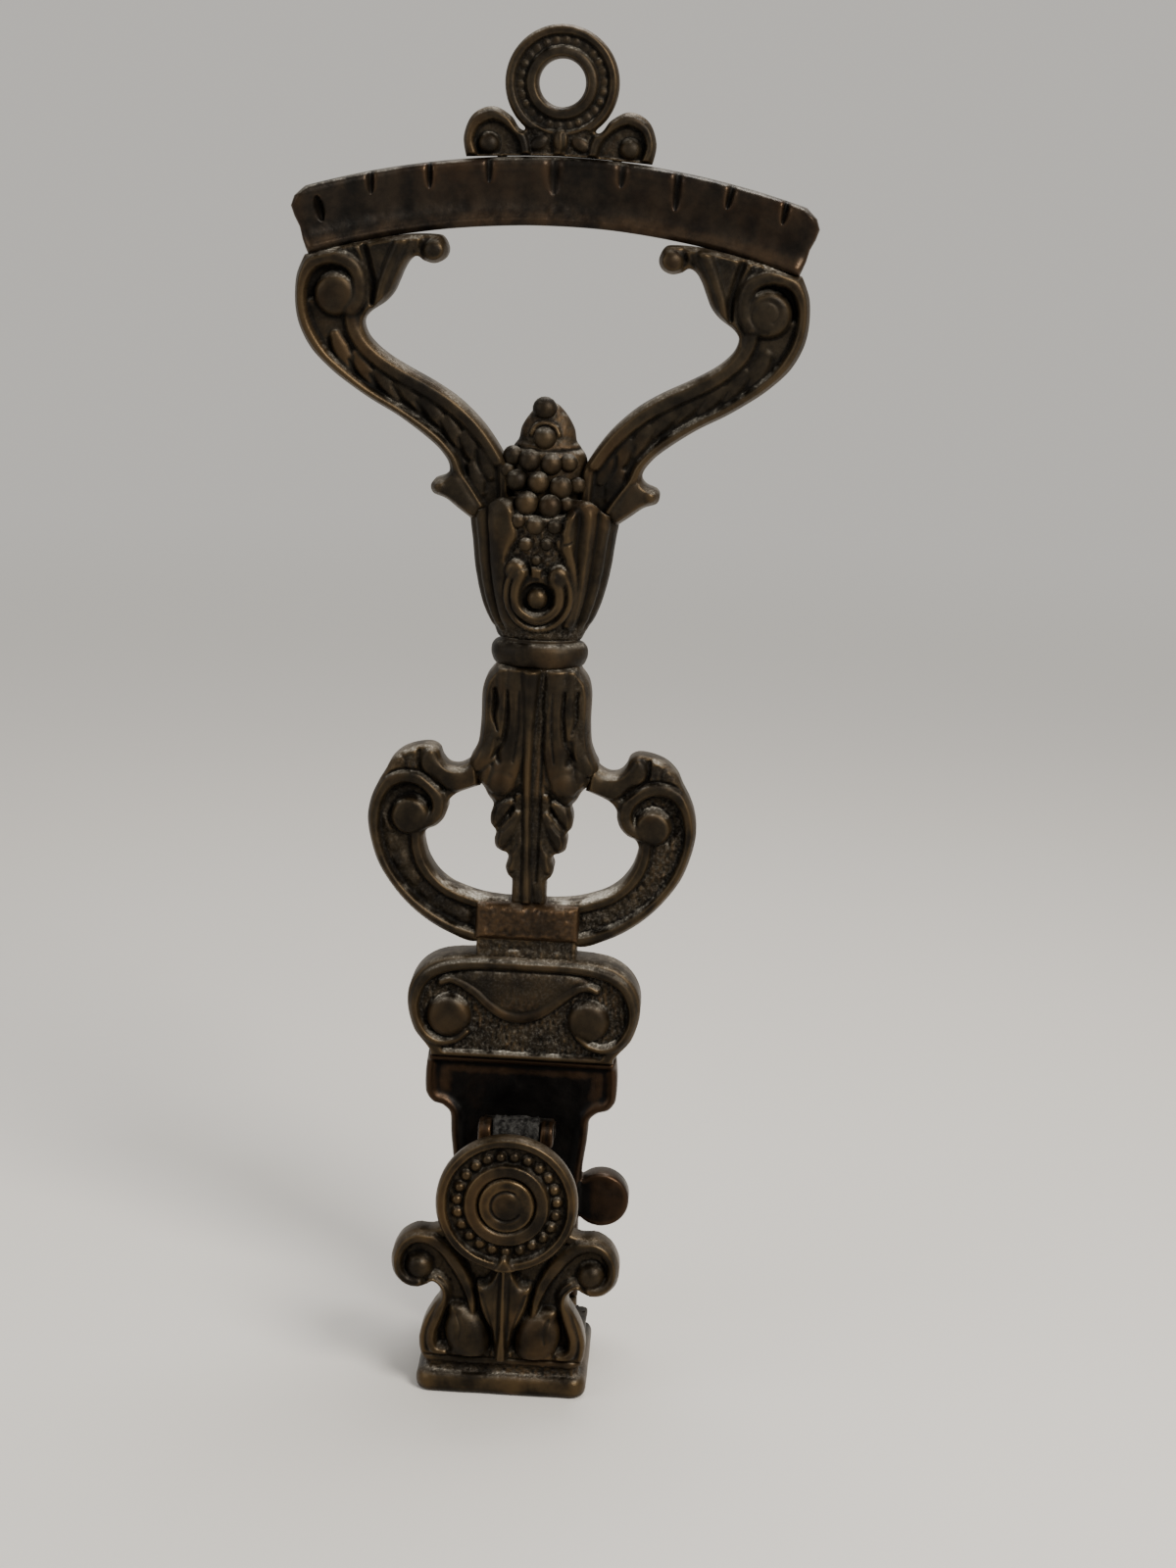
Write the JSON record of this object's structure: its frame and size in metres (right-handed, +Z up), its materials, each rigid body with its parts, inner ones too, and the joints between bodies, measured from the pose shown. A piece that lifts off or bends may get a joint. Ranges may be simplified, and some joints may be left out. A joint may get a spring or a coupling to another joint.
{
  "type": "lever corkscrew",
  "caption": "Ornate cast-bronze lever corkscrew: hanging ring, curved grip bar on two scroll arms, vase and leaf shaft, hinged foot with rosette and a folding worm.",
  "frame": {"origin": "on the underside of the foot, below the middle of its sole", "axes": "+Z up along the handle towards the hanging ring, +X to the viewer's right, -Y out of the decorated front"},
  "size_m": [0.126, 0.0591, 0.3365],
  "materials": {
    "dark_bronze": "dark brown patina, worn warm on the high points, grey dust in the hollows",
    "worn_bronze": "brown patina rubbed through to warm bronze",
    "pin_brass": "plain drawn brass, dulled",
    "worm_steel": "dull drawn steel wire"
  },
  "bodies": {
    "handle": {"hanging_ring": "dark_bronze", "grip_bar": "dark_bronze", "left_arm": "dark_bronze", "right_arm": "dark_bronze", "grape_finial": "dark_bronze", "vase_cup": "dark_bronze", "collar_ring": "dark_bronze", "leaf_stem": "dark_bronze", "left_c_scroll": "dark_bronze", "right_c_scroll": "dark_bronze", "neck_block": "dark_bronze", "ionic_capital": "dark_bronze", "shank_plate": "dark_bronze", "worm_clevis": "dark_bronze", "scroll_band": "worn_bronze", "tie_rod": "pin_brass", "left_crest_pin": "pin_brass", "right_crest_pin": "pin_brass", "left_bar_rivet": "pin_brass", "right_bar_rivet": "pin_brass", "left_arm_dowel": "pin_brass", "right_arm_dowel": "pin_brass", "left_scroll_pin": "pin_brass", "right_scroll_pin": "pin_brass", "left_shank_rivet": "pin_brass", "right_shank_rivet": "pin_brass", "foot_hinge_pin": "pin_brass", "worm_pin": "pin_brass"},
    "foot": {"foot_base": "dark_bronze", "foot_cheek": "dark_bronze", "rosette": "dark_bronze", "rosette_rivet": "worn_bronze", "left_cheek_dowel": "pin_brass", "right_cheek_dowel": "pin_brass"},
    "worm_arm": {"worm_barrel": "worn_bronze", "worm": "worm_steel"}
  },
  "joints": [
    {"name": "foot_hinge", "type": "hinge", "parent": "handle", "child": "foot", "pos_m": [0, 0.019, 0.005], "axis": [1, 0, 0], "range_deg": [0, 110]},
    {"name": "worm_hinge", "type": "hinge", "parent": "handle", "child": "worm_arm", "pos_m": [0, 0.003, 0.061], "axis": [-1, 0, 0], "range_deg": [0, 90]}
  ],
  "couplings": [
    {"joint": "worm_hinge", "follows": "foot_hinge", "ratio": 0.8}
  ]
}
